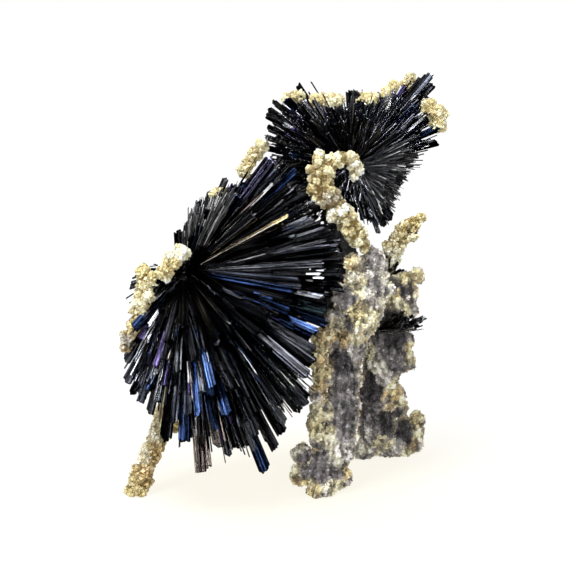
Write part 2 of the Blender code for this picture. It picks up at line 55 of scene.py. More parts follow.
BLACK = (0.03, 0.031, 0.036)
STEEL = (0.08, 0.083, 0.092)
SILVER = (0.30, 0.30, 0.31)
WHITE = (0.80, 0.80, 0.79)
GOLD = (0.42, 0.33, 0.17)
BLUE = (0.022, 0.04, 0.10)
SKY = (0.04, 0.07, 0.165)
VIOLET = (0.045, 0.036, 0.085)
LAVENDER = (0.10, 0.095, 0.15)
TEAL = (0.05, 0.08, 0.095)
BROWN = (0.17, 0.145, 0.135)
BRIGHT = (WHITE, GOLD, SILVER, SKY, TEAL, LAVENDER, BROWN)

# where the narrow lights stand, in metres: the brightest blades face them
LIT_FROM = (
    (-0.05, -0.1, 0.6), (-0.55, -0.15, 0.35), (0.5, -0.3, 0.3), (-0.15, -0.6, 0.12), (0.2, -0.45, 0.5),
    (0.2, 0.5, 0.5),
)

# across, rise and depth of the point that the blades grow from, then bearing and reach round it
MAIN_HEART = (-20.8, 47.9, 6.0)
MAIN_OUTLINE = (
    (-180, 9), (-165, 11), (-150, 12.4), (-140, 15), (-128, 20.5), (-118, 26), (-110, 29), (-100, 32),
    (-90, 36), (-84, 41), (-68, 44), (-58, 39), (-50, 37), (-37, 33), (-20, 31), (0, 30), (20, 30),
    (45, 30), (53, 29), (60, 22), (72, 18), (80, 15), (90, 9), (110, 5), (135, 4), (160, 5), (180, 9),
)
# bearing, lean, reach, breadth, tint
MAIN_BLADES = (
    (52, 15, 29.6, 3.4, LAVENDER), (42, 12, 31.5, 1.9, SKY), (39, 22, 28.0, 1.7, BLACK),
    (28, 24, 24.5, 1.3, GOLD), (22.5, 10, 29.0, 2.3, STEEL), (18, 14, 30.5, 2.5, STEEL),
    (15.2, 6, 30.5, 1.3, WHITE), (10, 10, 32.2, 1.9, TEAL), (60, 6, 21.3, 1.9, VIOLET),
    (56, -6, 23.0, 1.7, BLUE), (66, 14, 21.3, 1.4, STEEL), (72, 4, 17.7, 2.0, STEEL),
    (78, 12, 15.4, 2.0, STEEL), (81, 0, 12.0, 2.0, STEEL), (3, 20, 29.0, 2.2, STEEL),
    (-1.7, 16, 28.6, 2.6, STEEL), (-6, 24, 24.3, 2.8, BLACK), (-10.5, 32, 23.0, 2.0, BLUE),
    (-15.5, 14, 30.5, 2.6, TEAL), (-20, 8, 31.6, 2.1, BLUE), (-24.5, 14, 30.4, 1.9, BLUE),
    (-36, 17, 32.6, 3.4, BLACK), (-43, 2, 32.5, 2.3, BLACK), (-48, 50, 14.4, 1.6, SILVER),
    (-31, 20, 31.5, 2.3, BLACK), (-64, 52, 16.5, 1.5, BLACK), (-75.5, 34, 24.7, 1.9, SKY),
    (-84, 24, 30.0, 1.9, SKY), (-84.8, 5, 42.0, 4.4, BROWN), (-78.5, 8, 37.5, 3.8, BROWN),
    (-67.9, 5, 44.9, 2.8, BLUE), (-63, 0, 41.7, 2.2, BLACK), (-59, -6, 39.7, 2.8, BLACK),
    (-51, -8, 38.0, 2.4, BLACK), (-110.5, 20, 21.0, 1.6, LAVENDER), (-107, 28, 20.5, 1.5, VIOLET),
    (-102, 16, 27.7, 1.6, WHITE), (-109, 4, 29.0, 1.8, BLACK), (-96.5, 6, 35.7, 3.0, STEEL),
    (-90, 12, 35.3, 2.7, BLUE), (-113.5, -12, 28.4, 2.6, BLACK), (-54, 14, 34.0, 2.6, BLACK),
    (-73, -6, 39.0, 2.6, STEEL), (-118.5, -4, 26.4, 2.6, BLACK), (-124, -6, 22.8, 2.6, BLACK),
    (-129.5, -10, 20.2, 2.4, BLACK), (-136, -10, 17.0, 2.2, BLACK), (-143, -4, 14.4, 2.2, STEEL),
    (-151, -14, 12.4, 2.0, BLACK), (-166, -16, 12.2, 2.0, BLACK), (-160, -8, 11.4, 2.0, BLACK),
    (-104.5, -4, 30.8, 2.4, BLACK), (-28, 4, 29.6, 2.6, BLUE), (-48, 6, 37.6, 2.4, BLACK),
    (32, 4, 31.0, 2.6, BLACK), (36, -4, 29.0, 2.4, BLACK), (27.5, -6, 32.0, 2.6, BLACK),
    (47, 4, 29.0, 2.6, BLACK), (-34, -6, 31.0, 2.6, BLACK), (-40, 22, 33.5, 2.4, BLACK),
    (-57, 4, 38.0, 2.4, STEEL), (-66, 14, 37.0, 2.4, BLACK), (-70.5, -8, 39.0, 2.4, BLACK),
    (-46.5, -2, 37.0, 2.4, BLACK),
)
MAIN_TINTS = (BLACK,) * 10 + (STEEL,) * 4 + (SILVER, SILVER, BLUE, BLUE, VIOLET, BROWN)


def seen(across, rise, depth):
    """The place, in metres, that shows at across and rise in the viewer's picture plane at that depth."""
    return (Vector((across, depth, (rise - depth * UP.y) / UP.z)) - MIDDLE) * MM


def ray(bearing, lean):
    """A direction, its bearing round the picture plane and its lean out of it, in degrees."""
    turn, tip = math.radians(bearing), math.radians(lean)
    flat = Vector((math.cos(turn), 0, 0)) + UP * math.sin(turn)
    return flat * math.cos(tip) + TOWARD * math.sin(tip)


def reach_at(outline, bearing):
    """The spray's reach in millimetres at a bearing."""
    return float(np.interp((bearing + 180) % 360 - 180, *zip(*outline)))


def facing_light(way):
    """The side of a blade that throws the best placed light towards the viewer."""
    lights = [Vector(place).normalized() for place in LIT_FROM]
    best = min(lights, key=lambda light: abs(light.dot(way) + TOWARD.dot(way)))
    halfway = best + TOWARD
    return (halfway - way * halfway.dot(way)).normalized()


class Prisms:
    """Gathers grooved prisms into one mesh, each with its colour and its lengthwise coordinates."""

    def __init__(self):
        self.verts, self.faces, self.tints, self.uvs = [], [], [], []

    def add(self, root, way, side, length, width, thick, sides, tint, rng, uneven=0.28, taper=0.6, blunt=0.5):
        """One prism with an uneven section, thinner at the root, its end face slanting and bevelled."""
        flat = way.cross(side)
        section = []
        for k in range(sides):
            turn = math.tau * (k + rng.uniform(-uneven, uneven)) / sides
            swell = rng.uniform(0.9, 1.08)
            section.append((math.cos(turn) * width * swell / 2, math.sin(turn) * thick * swell / 2))
        slope, rise = rng.uniform(-0.5, 0.5), rng.uniform(0.1, 0.35) * width
        rings = ((0.0, taper), (0.5, 0.5 + 0.5 * taper), (1.0, 1.0), (1.0, blunt))
        start = len(self.verts)
        for row, (along, share) in enumerate(rings):
            for x, y in section:
                lift = slope * x + (rise if row == 3 else 0.0) if row > 1 else 0.0
                place = root + way * (length * along - (rise if row > 1 else 0) + lift)
                self.verts.append(place + side * (x * share) + flat * (y * share))
        self.tints += [tint] * (4 * sides)
        step = math.pi * (width + thick) / 2 / sides / MM
        for row in range(3):
            v0, v1 = rings[row][0] * length / MM, rings[row + 1][0] * length / MM + 0.3 * (row == 2)
            for k in range(sides):
                a, b = start + row * sides + k, start + row * sides + (k + 1) % sides
                self.faces.append((a, b, b + sides, a + sides))
                self.uvs += [(k * step, v0), ((k + 1) * step, v0), ((k + 1) * step, v1), (k * step, v1)]
        self.faces.append(tuple(start + 3 * sides + k for k in range(sides)))
        self.uvs += [(x / MM, length / MM + y / MM) for x, y in section]

    def bundle(self, root, way, length, breadth, tint, rng, face=None, fine=0.62):
        """A blade: parallel prisms side by side in a plate, with one slanting or bevelled end."""
        side = face.cross(way) if face else way.cross(TOWARD).normalized()
        swing = 0.1 if face else 0.7
        side.rotate(Matrix.Rotation(rng.uniform(-swing, swing), 3, way))
        flat = way.cross(side)
        count = max(1, round(breadth / fine))
        slope, bevel = rng.uniform(-0.45, 0.45), rng.uniform(0.1, 0.5) * breadth
        for k in range(count):
            share = (k + 0.5) / count - 0.5 if count > 1 else 0.0
            turned = side.copy()
            turned.rotate(Matrix.Rotation(rng.uniform(-swing, swing) / 2, 3, way))
            middle = side * (share * breadth * 0.86)
            middle += flat * (rng.uniform(-0.1, 0.1) * breadth * (count > 1))
            start = root + middle * 0.7 * MM
            heading = (way * length * MM + middle * 0.3 * MM).normalized()
            end = slope * share * breadth - bevel * (2 * share) ** 2 - rng.uniform(0, 0.25) * (count > 1)
            shade = rng.choice((0.25, 0.5, 0.8, 1.2, 2.0))
            width = breadth / count * (rng.uniform(1.2, 1.7) if count > 1 else 1.0) * MM
            self.add(
                start, heading, turned, (length + end) * MM, width, width * rng.uniform(0.55, 0.95),
                6 if count > 1 else 5, [min(0.95, c * shade) for c in tint], rng, 0.08 if face else 0.28,
            )
        if breadth > 1.2 and rng.random() < 0.6:
            edge = rng.uniform(0.16, 0.28) * MM
            place = root + side * (rng.uniform(-0.35, 0.35) * breadth * MM) + flat * (0.3 * breadth * MM)
            self.add(
                place, way, side, length * rng.uniform(0.7, 0.96) * MM, edge, edge, 5,
                [0.5 + 0.4 * c for c in tint], rng,
            )

    def mesh(self, name, material):
        """The gathered prisms as one object."""
        data = bpy.data.meshes.new(name)
        data.from_pydata(self.verts, [], self.faces)
        data.uv_layers.new(name="lengthwise").data.foreach_set("uv", np.array(self.uvs, np.float32).ravel())
        tint = data.color_attributes.new("tint", "FLOAT_COLOR", "POINT")
        colours = np.ones((len(self.verts), 4), np.float32)
        colours[:, :3] = self.tints
        tint.data.foreach_set("color", colours.ravel())
        data.materials.append(material)
        obj = bpy.data.objects.new(name, data)
        bpy.context.scene.collection.objects.link(obj)
        return obj


def node_of(tree, kind, **values):
    """A shader node with its sockets set."""
    node = tree.nodes.new(kind)
    for key, value in values.items():
        if hasattr(node, key):
            setattr(node, key, value)
        else:
            node.inputs[key.replace("_", " ")].default_value = value
    return node


def stibnite_material(name, dull=0.0, metal=1.0):
    """Dark metal with grooves along each blade: they break up its colour, its polish and its surface."""
    material = bpy.data.materials.new(name)
    material.use_nodes = True
    tree = material.node_tree
    shader = tree.nodes["Principled BSDF"]
    shader.inputs["Metallic"].default_value = metal
    uv = node_of(tree, "ShaderNodeUVMap", uv_map="lengthwise")
    stretch = node_of(tree, "ShaderNodeMapping")
    stretch.inputs["Scale"].default_value = (3.4, 0.09, 1.0)
    noise = node_of(tree, "ShaderNodeTexNoise", Scale=1.6, Detail=4.0, Roughness=0.7)
    tint = node_of(tree, "ShaderNodeAttribute", attribute_name="tint")
    shade = node_of(tree, "ShaderNodeMapRange")
    shade.inputs["From Min"].default_value, shade.inputs["From Max"].default_value = 0.42, 0.62
    shade.inputs["To Min"].default_value, shade.inputs["To Max"].default_value = 0.15, 1.9
    scaled = node_of(tree, "ShaderNodeVectorMath", operation="SCALE")
    rough = node_of(tree, "ShaderNodeMapRange")
    rough.inputs["To Min"].default_value, rough.inputs["To Max"].default_value = 0.08 + dull, 0.30 + dull
    bump = node_of(tree, "ShaderNodeBump", Strength=0.5)
    bump.inputs["Distance"].default_value = 0.00012
    link = tree.links.new
    link(uv.outputs["UV"], stretch.inputs["Vector"])
    link(stretch.outputs["Vector"], noise.inputs["Vector"])
    link(noise.outputs["Fac"], shade.inputs["Value"])
    link(tint.outputs["Color"], scaled.inputs[0])
    link(shade.outputs["Result"], scaled.inputs["Scale"])
    link(scaled.outputs["Vector"], shader.inputs["Base Color"])
    link(noise.outputs["Fac"], rough.inputs["Value"])
    link(rough.outputs["Result"], shader.inputs["Roughness"])
    link(noise.outputs["Fac"], bump.inputs["Height"])
    link(bump.outputs["Normal"], shader.inputs["Normal"])
    return material


def ground_tree(names):
    """The CAD surfaces that a blade stops at when it grows into them."""
    verts, faces = [], []
    for name in names:
        data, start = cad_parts[name].data, len(verts)
        verts += [v.co.copy() for v in data.vertices]
        faces += [[start + i for i in p.vertices] for p in data.polygons]
    return BVHTree.FromPolygons(verts, faces)


def stop_at(tree, root, way, length, sink):
    """The blade's length in millimetres, cut where it has sunk that far into other pieces."""
    hit = tree.ray_cast(root, way, length * MM)
    return min(length, hit[3] / MM + sink) if hit[0] else length


CRUST = ground_tree(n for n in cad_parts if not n.startswith("stibnite"))
# loose blades that come out shorter than this, in millimetres, are left out
SHORTEST = 1.5
# loose blades lean between these, less far forward at the bearings where the listed ones must show
FARTHEST_BACK, FARTHEST_FORWARD, FORWARD_OF_LISTED, LISTED_BEARINGS = -78, 50, 26, (-20, 60)


def spread(lean, deep):
    """How far a loose blade reaches at a lean, as a share of its reach in the picture plane."""
    return 1 - deep * abs(math.sin(math.radians(lean))) ** 1.6


def strayed(way, rng, stray):
    """A direction with a little scatter."""
    return (way + Vector([rng.gauss(0, stray) for _ in "xyz"])).normalized()


def spray(heart, outline, blades, painted_light, loose, needles, seed, deep, leans, sizes, tints):
    """The listed blades, then loose ones and needles between them, all from one heart."""
    rng, store, centre = random.Random(seed), Prisms(), seen(*heart)
    longest = max(reach for _, reach in outline)
    for bearing, lean, reach, breadth, tint in blades:
        way, length = ray(bearing, lean), reach / math.cos(math.radians(lean))
        start = 0.12 * length
        face = facing_light(way) if tint in BRIGHT else None
        store.bundle(centre + way * start * MM, way, length - start, breadth, tint, rng, face)
    made = 0
    while made < loose + needles:
        fine = made >= loose
        bearing = rng.uniform(-180, 180)
        if rng.uniform(0.12, 0.9) * longest > reach_at(outline, bearing):
            continue
        lean = rng.gauss(*leans)
        listed = LISTED_BEARINGS[0] < bearing < LISTED_BEARINGS[1]
        if not FARTHEST_BACK < lean < (FORWARD_OF_LISTED if listed else FARTHEST_FORWARD):
            continue
        made += 1
        way, full = ray(bearing, lean), reach_at(outline, bearing) * spread(lean, deep)
        length = full * (rng.uniform(0.7, 0.98) if fine else rng.uniform(0.55, 0.95))
        start = rng.uniform(0.1, 0.5) * length
        root = centre + (way * start + Vector([rng.gauss(0, 0.9) for _ in "xyz"])) * MM
        way = strayed(way, rng, 0.035)
        length = stop_at(CRUST, root, way, length - start, 0.6)
        if length > SHORTEST:
            breadth = rng.uniform(*sizes[1]) if fine else rng.uniform(*sizes[0])
            # painted light and shade: the colour is scaled by the painted light at this bearing, and halved
            # as painted shade round the heart where the blade leans far forward
            painted_brightness = reach_at(painted_light, bearing) * (0.5 if lean > 28 else 1.0)
            tint = [painted_brightness * c for c in rng.choice(tints)]
            store.bundle(root, way, length, breadth, tint, rng)
    return store


def brush(store, heart, bearings, leans, reaches, widths, count, tints, seed, stray=0.03):
    """Needles side by side in one part of a spray, their reach set along its bearings."""
    rng = random.Random(seed)
    for _ in range(count):
        bearing = rng.uniform(*bearings)
        share = (bearing - bearings[0]) / (bearings[1] - bearings[0])
        reach = float(np.interp(share, np.linspace(0, 1, len(reaches)), reaches)) * rng.uniform(0.84, 1.02)
        way = ray(bearing, rng.uniform(*leans))
        root = seen(*heart) + (way * 0.3 * reach + Vector([rng.gauss(0, 0.4) for _ in "xyz"])) * MM
        way = strayed(way, rng, stray)
        store.bundle(root, way, 0.7 * reach, rng.uniform(*widths), rng.choice(tints), rng)


stibnite = stibnite_material("stibnite_blades")
# bearing, and the painted light and shade on the loose blades there: how bright their colour is made
MAIN_PAINTED_LIGHT = (
    (-180, 0.7), (-125, 0.8), (-105, 1.2), (-82, 0.9), (-64, 0.45), (-45, 0.22), (-30, 0.35), (-15, 0.7),
    (0, 0.6), (14, 1.2), (26, 0.5), (45, 0.9), (62, 0.6), (180, 0.7),
)
main_store = spray(
    MAIN_HEART, MAIN_OUTLINE, MAIN_BLADES, MAIN_PAINTED_LIGHT, loose=620, needles=1500, seed=3, deep=0.66,
    leans=(-2, 23), sizes=((0.9, 2.4), (0.22, 0.5)), tints=MAIN_TINTS,
)
DARK_TINTS = (BLACK, BLACK, BLACK, STEEL)
GLINT_TINTS = (BLACK, BLACK, STEEL, WHITE)
brush(main_store, MAIN_HEART, (22, 54), (-32, -6), (33, 35, 35, 31), (0.3, 1.0), 170, DARK_TINTS, 32)
brush(main_store, MAIN_HEART, (-14, 17), (-8, 18), (31, 33.5, 34, 32), (0.6, 1.6), 80, DARK_TINTS, 33)
# blades whose blunt ends catch the light at the right of the spray
END_LEAN, END_BREADTH = 20, 0.8
for bearing, reach, length, tint in (
    (-4.0, 26.8, 1.6, SILVER), (-2.6, 28.9, 2.4, WHITE), (-1.0, 28.2, 3.2, WHITE), (0.6, 29.0, 1.8, SILVER),
    (1.4, 26.4, 1.2, WHITE),
):
    way = ray(bearing, END_LEAN)
    place = seen(*MAIN_HEART) + way * (reach / math.cos(math.radians(END_LEAN)) - length) * MM
    main_store.bundle(place, way, length, END_BREADTH, tint, random.Random(reach), facing_light(way))
brush(main_store, MAIN_HEART, (-55, -41), (-14, 12), (36, 38, 37, 34), (0.16, 0.34), 110, GLINT_TINTS, 35)
main_spray = main_store.mesh("main_spray_blades", stibnite)
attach(main_spray, "root")
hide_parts("stibnite_main_spray")

felted_stibnite = stibnite_material("felted_stibnite", dull=0.35, metal=0.3)
GREY_TINTS = ((0.03, 0.03, 0.033), (0.07, 0.07, 0.073), (0.18, 0.18, 0.185), (0.6, 0.6, 0.6))
mat_store = Prisms()
brush(
    mat_store, MAIN_HEART, (57, 86), (-30, 36), (22, 19, 16, 12.5, 8), (0.12, 0.26), 1000, GREY_TINTS, 31,
    stray=0.09,
)
main_mat = mat_store.mesh("main_spray_fine_needles", felted_stibnite)
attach(main_mat, "root")
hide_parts("stibnite_main_spray")


# The upper spray: thinner stibnite needles packed side by side round a second heart, behind the curl of
# calcite. Its lower right side is a brush of very fine needles whose dull ends show grey.

UPPER_HEART = (14.3, 70.4, 20.0)
UPPER_OUTLINE = (
    (-180, 16), (-160, 16), (-145, 15.5), (-120, 14), (-90, 11), (-72, 14), (-66, 15.5), (-55, 14),
    (-45, 11), (-20, 10.5), (0, 12), (12, 15), (20, 19), (30, 19), (44, 23), (51, 24), (57, 19),
    (70, 16), (87, 16), (103, 14), (117, 15), (124, 20), (141, 21), (155, 20), (168, 18), (180, 16),
)
UPPER_BLADES = (
    (124, 2, 21.0, 1.3, BLACK), (141, 6, 21.9, 1.6, BLACK), (146, -4, 21.8, 1.3, BLACK),
    (150, 10, 21.2, 1.4, BLACK), (155.5, 0, 20.1, 1.4, STEEL), (162, 14, 19.5, 1.4, SILVER),
    (168.5, 4, 18.7, 1.4, BLACK), (135.5, 10, 20.0, 1.8, BLUE), (130, -4, 19.3, 1.6, BLACK),
    (120, 8, 16.6, 1.8, STEEL), (113, 2, 14.8, 1.6, BLACK), (103, 6, 14.5, 1.5, BLACK),
    (92, -2, 16.2, 1.8, BLACK), (87, 6, 16.0, 1.7, STEEL), (77, 4, 14.4, 1.6, BLACK),
    (69, 0, 16.8, 1.4, BLACK), (61, 8, 17.6, 1.5, SILVER), (56, 6, 20.2, 1.6, VIOLET),
    (51.5, 4, 23.6, 1.8, BROWN), (49.5, 10, 25.4, 2.2, STEEL), (45.5, -2, 24.4, 1.9, STEEL),
    (41.5, 2, 21.8, 1.6, VIOLET), (31, 2, 19.3, 1.6, BLACK), (23.5, 10, 20.0, 1.6, BLUE),
    (15.5, 0, 18.9, 1.4, STEEL), (-54, 10, 14.2, 2.0, BLACK), (-62, 2, 14.6, 1.6, STEEL),
    (-69, 6, 15.5, 1.1, SILVER), (58, 14, 11.0, 1.2, BLUE), (46, 20, 12.0, 1.1, BLUE),
)
UPPER_TINTS = (BLACK,) * 8 + (STEEL,) * 7 + (SILVER,) * 4 + (BLUE, VIOLET)
# bearing, and the painted light on the upper spray's loose blades there: how much brighter their colour is
# made
UPPER_PAINTED_LIGHT = ((-180, 1.8), (-60, 2.2), (10, 3.0), (60, 3.2), (100, 2.2), (140, 2.4), (180, 1.8))
upper_store = spray(
    UPPER_HEART, UPPER_OUTLINE, UPPER_BLADES, UPPER_PAINTED_LIGHT, loose=260, needles=2300, seed=5, deep=0.45,
    leans=(4, 22), sizes=((0.7, 1.3), (0.22, 0.46)), tints=UPPER_TINTS,
)
brush(upper_store, UPPER_HEART, (150, 222), (-20, 10), (19, 17, 16, 15, 14), (0.2, 0.6), 300, DARK_TINTS, 9)
upper_spray = upper_store.mesh("upper_spray_needles", stibnite)
brush_store = Prisms()
brush(
    brush_store, UPPER_HEART, (-58, 16), (-40, 45), (13.5, 11.5, 11, 12.5, 15), (0.14, 0.28), 1300,
    GREY_TINTS + (BLACK,) * 4, 8, stray=0.13,
)
upper_brush = brush_store.mesh("upper_spray_brush", felted_stibnite)
for piece in (upper_spray, upper_brush):
    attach(piece, "root")
    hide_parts("stibnite_upper_spray")


# The calcite crest, fingers, stalk and tufts: crusts of rounded, cloudy calcite grains a millimetre or two
# across, which grew over the sprays' edges last. Pale yellow where thick, ochre in the gaps between grains,
# with painted shade darkening the gaps further and painted light on the grains' tops and outer corners.

CREAM = (0.73, 0.675, 0.45)
PALE = (0.78, 0.76, 0.61)
OCHRE = (0.66, 0.51, 0.27)
YELLOW = (0.68, 0.585, 0.32)
GREY = (0.50, 0.475, 0.44)
FELT = (0.24, 0.225, 0.23)
DARK = (0.07, 0.065, 0.07)


def unit_ball():
    """A small ball's corners and faces, from a subdivided icosahedron."""
    t = (1 + math.sqrt(5)) / 2
    verts = [Vector(v).normalized() for v in (
        (-1, t, 0), (1, t, 0), (-1, -t, 0), (1, -t, 0), (0, -1, t), (0, 1, t),
        (0, -1, -t), (0, 1, -t), (t, 0, -1), (t, 0, 1), (-t, 0, -1), (-t, 0, 1),
    )]
    faces = [
        (0, 11, 5), (0, 5, 1), (0, 1, 7), (0, 7, 10), (0, 10, 11), (1, 5, 9), (5, 11, 4), (11, 10, 2),
        (10, 7, 6), (7, 1, 8), (3, 9, 4), (3, 4, 2), (3, 2, 6), (3, 6, 8), (3, 8, 9), (4, 9, 5),
        (2, 4, 11), (6, 2, 10), (8, 6, 7), (9, 8, 1),
    ]
    middles, finer = {}, []
    for face in faces:
        mids = []
        for a, b in zip(face, face[1:] + face[:1]):
            key = (min(a, b), max(a, b))
            if key not in middles:
                middles[key] = len(verts)
                verts.append((verts[a] + verts[b]).normalized())
            mids.append(middles[key])
        a, b, c = face
        finer += [(a, mids[0], mids[2]), (b, mids[1], mids[0]), (c, mids[2], mids[1]), tuple(mids)]
    return np.array(verts), np.array(finer)


BALL_VERTS, BALL_FACES = unit_ball()


def surface_points(data, spacing, seed, tries=7):
    """Points scattered over a mesh, none nearer to another than spacing, with the surface's normals."""
    rng = np.random.default_rng(seed)
    data.calc_loop_triangles()
    tris = np.array([t.vertices for t in data.loop_triangles])
    co = np.array([v.co for v in data.vertices])
    a, b, c = co[tris[:, 0]], co[tris[:, 1]], co[tris[:, 2]]
    cross = np.cross(b - a, c - a)
    area = np.linalg.norm(cross, axis=1) / 2
    count = int(tries * area.sum() / spacing**2)
    pick = rng.choice(len(tris), count, p=area / area.sum())
    u, v = rng.random(count), rng.random(count)
    over = u + v > 1
    u[over], v[over] = 1 - u[over], 1 - v[over]
    points = a[pick] + (b - a)[pick] * u[:, None] + (c - a)[pick] * v[:, None]
    normals = cross[pick] / (2 * area[pick])[:, None]
    cells, kept = {}, []
    for k, p in enumerate(points):
        cell = tuple((p // spacing).astype(int))
        near = (
            j
            for dx in (-1, 0, 1) for dy in (-1, 0, 1) for dz in (-1, 0, 1)
            for j in cells.get((cell[0] + dx, cell[1] + dy, cell[2] + dz), ())
        )
        if all(np.sum((points[j] - p) ** 2) > spacing**2 for j in near):
            cells.setdefault(cell, []).append(k)
            kept.append(k)
    return points[kept], normals[kept]


def mottle(points, size, seed):
    """A smooth random value from 0 to 1 at each point, in blotches of about that size."""
    rng, total = np.random.default_rng(seed), np.zeros(len(points))
    for _ in range(6):
        way = rng.normal(size=3)
        way *= math.tau / size / np.linalg.norm(way) * rng.uniform(0.6, 1.6)
        total += np.sin(points @ way + rng.uniform(0, math.tau))
    return np.clip(0.5 + total / 5, 0, 1)


def picture_place(points):
    """Across and rise in the viewer's picture plane, in millimetres."""
    mm = points / MM + np.array(MIDDLE)
    return np.stack([mm[:, 0], mm[:, 1] * UP.y + mm[:, 2] * UP.z], axis=1)


def painted(points, normals, spots, default, seed):
    """Colours from a list of spots in the picture plane, blended with blotches. Backs get the default."""
    shift = np.stack([mottle(points, 0.004, seed), mottle(points, 0.004, seed + 1)], 1) - 0.5
    place = picture_place(points) + shift * 1.8
    blotch = mottle(points, 0.006, seed + 2)[:, None]
    base = np.array(default[0]) * (1 - blotch) + np.array(default[1]) * blotch
    if not spots:
        return base
    total, weight = np.zeros((len(points), 3)), np.full(len(points), 1e-4)
    for across, rise, radius, colour in spots:
        gap = ((place[:, 0] - across) ** 2 + (place[:, 1] - rise) ** 2) / radius**2
        share = np.exp(-gap * 2.0) / radius
        total += share[:, None] * np.array(colour)
        weight += share
    colours = total / weight[:, None]
    facing = np.clip(normals @ np.array(TOWARD) * 2.5 + 1.0, 0, 1) * np.clip(weight * 60, 0, 1)
    return base * (1 - facing[:, None]) + colours * facing[:, None]


def above(base, points):
    """How far each point stands out of a CAD piece, in millimetres, and that piece's normals there."""
    tree = BVHTree.FromPolygons([v.co for v in base.vertices], [tuple(p.vertices) for p in base.polygons])
    heights, normals = [], []
    for point in points.tolist():
        spot, normal, _, _ = tree.find_nearest(point)
        heights.append((Vector(point) - spot).dot(normal) / MM)
        normals.append(tuple(normal))
    return np.array(heights), np.array(normals)


def turned(shapes, rng, count):
    """Copies of a shape, each turned its own way."""
    spins = np.linalg.qr(rng.normal(size=(count, 3, 3)))[0]
    spins *= np.sign(np.linalg.det(spins))[:, None, None]
    return np.einsum("nij,nkj->nki", spins, shapes)


def welded(data):
    """A CAD piece's corners, each once, its faces, and the corners' mean normals."""
    places, order, faces, index = {}, [], [], []
    for vertex in data.vertices:
        key = tuple(round(c / MM, 4) for c in vertex.co)
        if key not in places:
            places[key] = len(order)
            order.append(tuple(vertex.co))
        index.append(places[key])
    normals = np.zeros((len(order), 3))
    for polygon in data.polygons:
        face = tuple(index[v] for v in polygon.vertices)
        faces.append(face)
        for v in face:
            normals[v] += np.array(polygon.normal) * polygon.area
    return np.array(order), faces, normals / np.linalg.norm(normals, axis=1)[:, None]


def fused_lumps(name, base, spacing, sizes, voxel, inset, least, paint, seed):
    """A CAD piece, drawn in a little, with round lumps grown over it, fused to one surface."""
    points, normals = surface_points(base, spacing * MM, seed)
    rng = np.random.default_rng(seed)
    tone = paint(points, np.zeros(len(points)), normals, seed).mean(axis=1)
    radii = rng.uniform(*sizes, len(points)) * np.clip(0.25 + 2.0 * (tone - 0.1), least, 1.1) * MM
    stretch = rng.uniform(0.8, 1.15, (len(points), 1, 3))
    balls = turned(BALL_VERTS[None] * stretch, rng, len(points)) * radii[:, None, None]
    balls += (points - normals * radii[:, None] * 0.6)[:, None]
    base_co, base_faces, base_normals = welded(base)
    base_co -= base_normals * inset * MM
    base_co[:, 2] = np.maximum(base_co[:, 2], 0.0)
    verts = np.concatenate([base_co, balls.reshape(-1, 3)])
    offsets = len(base_co) + np.arange(len(points))[:, None, None] * len(BALL_VERTS)
    faces = base_faces + [tuple(f) for f in (BALL_FACES[None] + offsets).reshape(-1, 3).tolist()]
    data = bpy.data.meshes.new(name)
    data.from_pydata(verts.tolist(), [], faces)
    raw = bpy.data.objects.new(name, data)
    bpy.context.scene.collection.objects.link(raw)
    remesh = raw.modifiers.new("fused", "REMESH")
    remesh.mode = "VOXEL"
    remesh.voxel_size = voxel * MM
    fused = bpy.data.meshes.new_from_object(raw.evaluated_get(bpy.context.evaluated_depsgraph_get()))
    bpy.data.objects.remove(raw)
    return fused


RHOMB_CORNERS = np.array([(x, y, z) for x in (-1, 1) for y in (-1, 1) for z in (-1, 1)]) / 2
RHOMB_CORNERS = RHOMB_CORNERS + 0.12 * RHOMB_CORNERS.sum(axis=1)[:, None]
RHOMB_FACES = np.array([(0, 1, 3, 2), (4, 6, 7, 5), (0, 4, 5, 1), (2, 3, 7, 6), (0, 2, 6, 4), (1, 5, 7, 3)])


